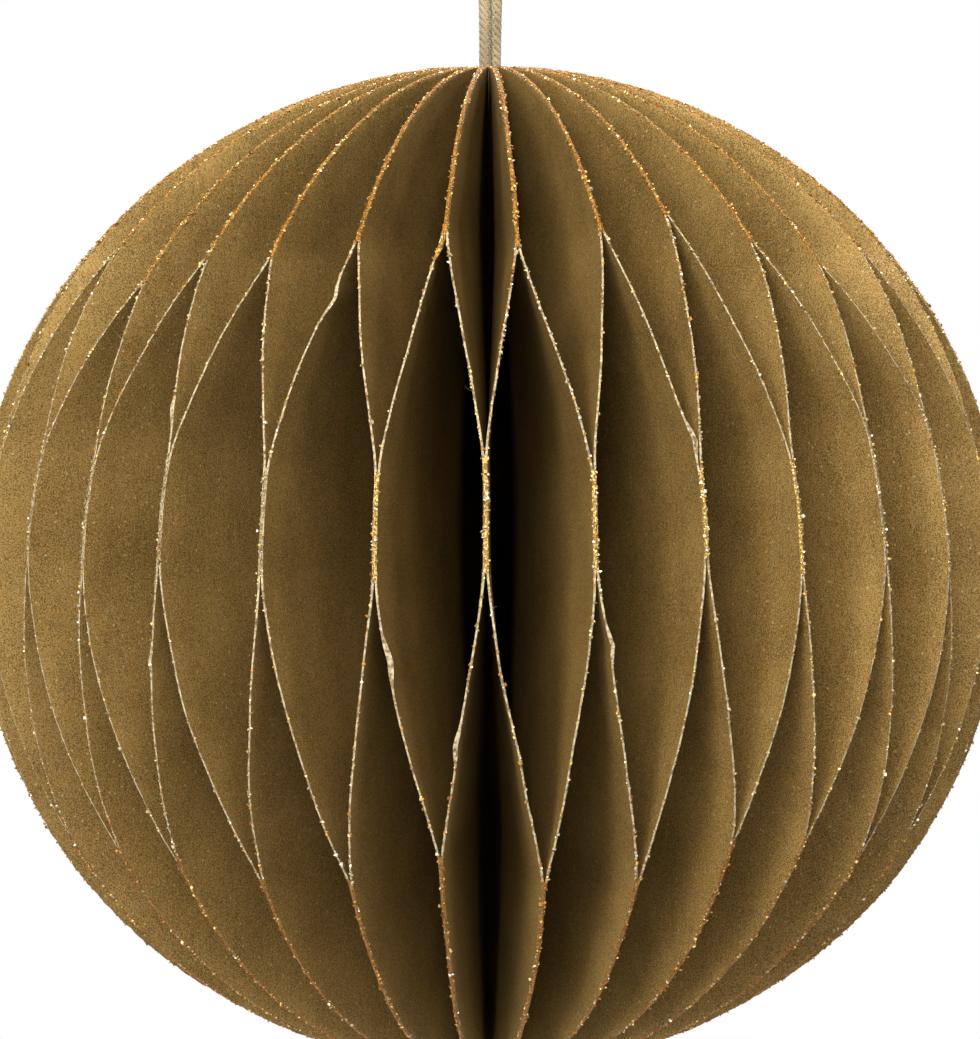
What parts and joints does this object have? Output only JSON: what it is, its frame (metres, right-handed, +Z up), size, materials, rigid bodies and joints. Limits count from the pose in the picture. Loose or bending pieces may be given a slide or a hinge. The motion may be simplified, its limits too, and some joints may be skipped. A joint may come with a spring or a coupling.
{
  "type": "folded paper ball ornament",
  "caption": "Hanging paper ball of curved card leaves glued in alternating pairs into a honeycomb, on a looped cord",
  "frame": {"origin": "centre of the ball, half way between the tips of its leaves", "axes": "+Z up along the core that the cord runs through, front towards -Y"},
  "size_m": [0.0994, 0.0997, 0.1606],
  "materials": {
    "bronze_card": "pearlescent coated card, white cut edge with gold glitter",
    "braided_cord": "braided cotton",
    "glitter": "loose metallic glitter grains"
  },
  "bodies": {
    "root": {"leaf_01": "bronze_card", "leaf_02": "bronze_card", "leaf_03": "bronze_card", "leaf_04": "bronze_card", "leaf_05": "bronze_card", "leaf_06": "bronze_card", "leaf_07": "bronze_card", "leaf_08": "bronze_card", "leaf_09": "bronze_card", "leaf_10": "bronze_card", "leaf_11": "bronze_card", "leaf_12": "bronze_card", "leaf_13": "bronze_card", "leaf_14": "bronze_card", "leaf_15": "bronze_card", "leaf_16": "bronze_card", "leaf_17": "bronze_card", "leaf_18": "bronze_card", "leaf_19": "bronze_card", "leaf_20": "bronze_card", "leaf_21": "bronze_card", "leaf_22": "bronze_card", "leaf_23": "bronze_card", "leaf_24": "bronze_card", "leaf_25": "bronze_card", "leaf_26": "bronze_card", "leaf_27": "bronze_card", "leaf_28": "bronze_card", "leaf_29": "bronze_card", "leaf_30": "bronze_card", "leaf_31": "bronze_card", "leaf_32": "bronze_card", "leaf_33": "bronze_card", "leaf_34": "bronze_card", "leaf_35": "bronze_card", "leaf_36": "bronze_card", "leaf_37": "bronze_card", "leaf_38": "bronze_card", "leaf_39": "bronze_card", "leaf_40": "bronze_card", "leaf_41": "bronze_card", "leaf_42": "bronze_card", "leaf_43": "bronze_card", "leaf_44": "bronze_card", "leaf_45": "bronze_card", "leaf_46": "bronze_card", "leaf_47": "bronze_card", "leaf_48": "bronze_card", "leaf_49": "bronze_card", "leaf_50": "bronze_card", "leaf_51": "bronze_card", "leaf_52": "bronze_card", "leaf_53": "bronze_card", "leaf_54": "bronze_card", "leaf_55": "bronze_card", "leaf_56": "bronze_card", "leaf_57": "bronze_card", "leaf_58": "bronze_card", "hanging_cord": "braided_cord", "end_knot": "braided_cord"}
  },
  "joints": []
}
